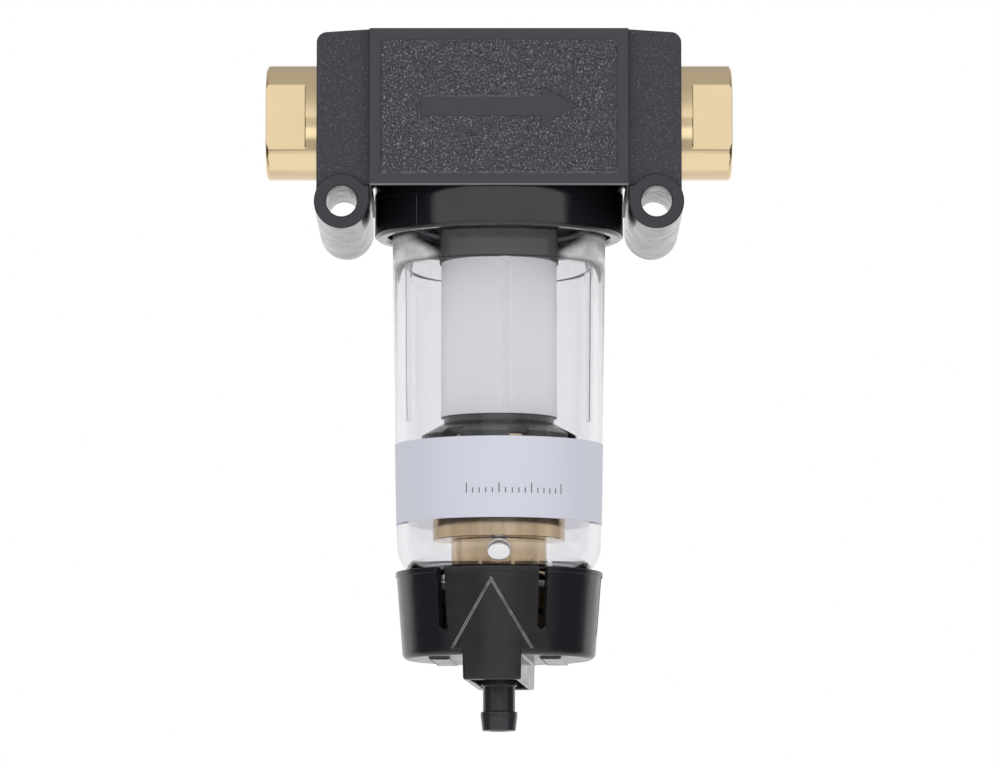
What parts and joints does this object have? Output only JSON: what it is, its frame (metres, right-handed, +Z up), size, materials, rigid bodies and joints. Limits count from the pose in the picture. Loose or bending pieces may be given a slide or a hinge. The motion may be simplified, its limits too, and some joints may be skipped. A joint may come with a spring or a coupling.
{
  "type": "in-line water filter",
  "caption": "In-line water filter: wall-mounted black head with brass threaded ports, clear screw-on bowl with screen and magnet, turn-to-drain knob with a hose barb.",
  "frame": {"origin": "centre of the head's back plate, on the wall plane at the height of the port axis", "axes": "+Z up along the bowl's axis, +X along the flow from inlet to outlet, +Y into the wall"},
  "size_m": [0.1412, 0.0774, 0.2081],
  "materials": {
    "grained_black": "moulded grain, low sheen",
    "boss_black": "smooth moulding",
    "gloss_black": "polished moulding",
    "satin_black": "smooth satin moulding",
    "brass": "machined, clean",
    "rubber": "moulded seal",
    "steel": "plain",
    "magnet": "sintered, ground",
    "screen_cloth": "fine woven polyester mesh",
    "white_plastic": "natural acetal",
    "clear_plastic": "clear moulding",
    "label": "matt film"
  },
  "bodies": {
    "head_assembly": {"head_cover": "grained_black", "front_panel": "grained_black", "wall_boss_left": "boss_black", "wall_boss_right": "boss_black", "wall_plate": "gloss_black", "head_body": "gloss_black", "inlet_port": "brass", "outlet_port": "brass", "inlet_oring": "rubber", "outlet_oring": "rubber", "cover_screws": "steel"},
    "cartridge": {"element_top_cap": "gloss_black", "spigot_oring": "rubber", "filter_screen": "screen_cloth", "screen_frame": "white_plastic", "element_base": "gloss_black", "magnet_sleeve": "steel", "magnet_rod": "magnet"},
    "bowl_assembly": {"bowl": "clear_plastic", "bowl_oring": "rubber", "label_band": "label", "drain_body": "brass", "drain_gasket": "rubber", "drain_washer": "white_plastic", "drain_locknut": "brass", "retaining_clip": "steel"},
    "drain_valve": {"valve_plug": "white_plastic", "plug_orings": "rubber", "hose_barb": "satin_black", "drain_knob": "satin_black"}
  },
  "joints": [
    {"name": "cartridge_drop", "type": "slide", "parent": "head_assembly", "child": "cartridge", "axis": [0, 0, -1], "range_m": [0, 0.009]},
    {"name": "bowl_turn", "type": "hinge", "parent": "cartridge", "child": "bowl_assembly", "pos_m": [0, -0.038, -0.03], "axis": [0, 0, -1], "range_deg": [0, 1080]},
    {"name": "drain_turn", "type": "hinge", "parent": "bowl_assembly", "child": "drain_valve", "pos_m": [0, -0.038, -0.15], "axis": [0, 0, 1], "range_deg": [0, 90]}
  ],
  "couplings": [
    {"joint": "cartridge_drop", "follows": "bowl_turn", "m_per_rad": 0.00047746}
  ]
}
